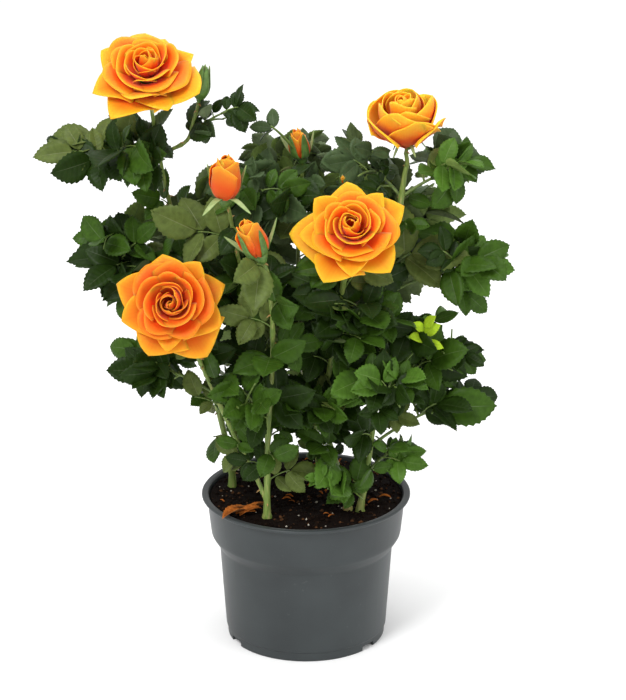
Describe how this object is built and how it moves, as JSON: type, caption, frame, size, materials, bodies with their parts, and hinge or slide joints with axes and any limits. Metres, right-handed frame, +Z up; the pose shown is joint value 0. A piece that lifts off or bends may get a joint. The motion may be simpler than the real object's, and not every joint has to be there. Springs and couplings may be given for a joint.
{
  "type": "potted miniature rose bush",
  "caption": "Compact rose bush with orange blooms, buds and serrated leaves, growing in a round plastic nursery pot.",
  "frame": {"origin": "middle of the pot's flat underside, at the level it stands on", "axes": "+Z up through the pot to the crown; +Y towards the back of the plant, so the bloom-rich front faces -Y; +X to the right seen from the front"},
  "size_m": [0.2885, 0.2023, 0.3803],
  "materials": {
    "pot": "satin dark slate grey",
    "potting_mix": "dark peaty potting mix, granular",
    "canes": "green young rose cane",
    "leaves": "satin dark green leaves",
    "petals": "velvety golden orange petals",
    "buds": "orange petals in light green sepals"
  },
  "bodies": {
    "root": {"pot": "pot", "potting_mix": "potting_mix", "cane_back": "canes", "cane_back_branch": "canes", "cane_back_left": "canes", "cane_front_left": "canes", "cane_left_branch": "canes", "cane_right_inner": "canes", "cane_right_outer": "canes", "stalk_back": "canes", "stalk_back_branch": "canes", "stalk_back_left": "canes", "stalk_front_left": "canes", "stalk_left_branch": "canes", "stalk_right_inner": "canes", "stalk_right_outer": "canes", "stalk_top": "canes", "leaves_back_left": "leaves", "leaves_back_low": "leaves", "leaves_back_right": "leaves", "leaves_back_top": "leaves", "leaves_centre": "leaves", "leaves_centre_left": "leaves", "leaves_far_left": "leaves", "leaves_front_low": "leaves", "leaves_front_right": "leaves", "leaves_left_middle": "leaves", "leaves_low_centre": "leaves", "leaves_low_leaf": "leaves", "leaves_low_right": "leaves", "leaves_lower_left": "leaves", "leaves_right_foot": "leaves", "leaves_right_lower": "leaves", "leaves_right_middle": "leaves", "leaves_right_top": "leaves", "leaves_top": "leaves", "leaves_top_tip": "leaves", "leaves_upper_centre": "leaves", "leaves_upper_left": "leaves", "leaves_upper_right": "leaves", "bloom_centre": "petals", "bloom_lower_left": "petals", "bloom_upper_left": "petals", "bloom_upper_right": "petals", "bud_back": "buds", "bud_behind_centre": "buds", "bud_front": "buds", "bud_top": "buds", "bud_upper": "buds"}
  },
  "joints": []
}
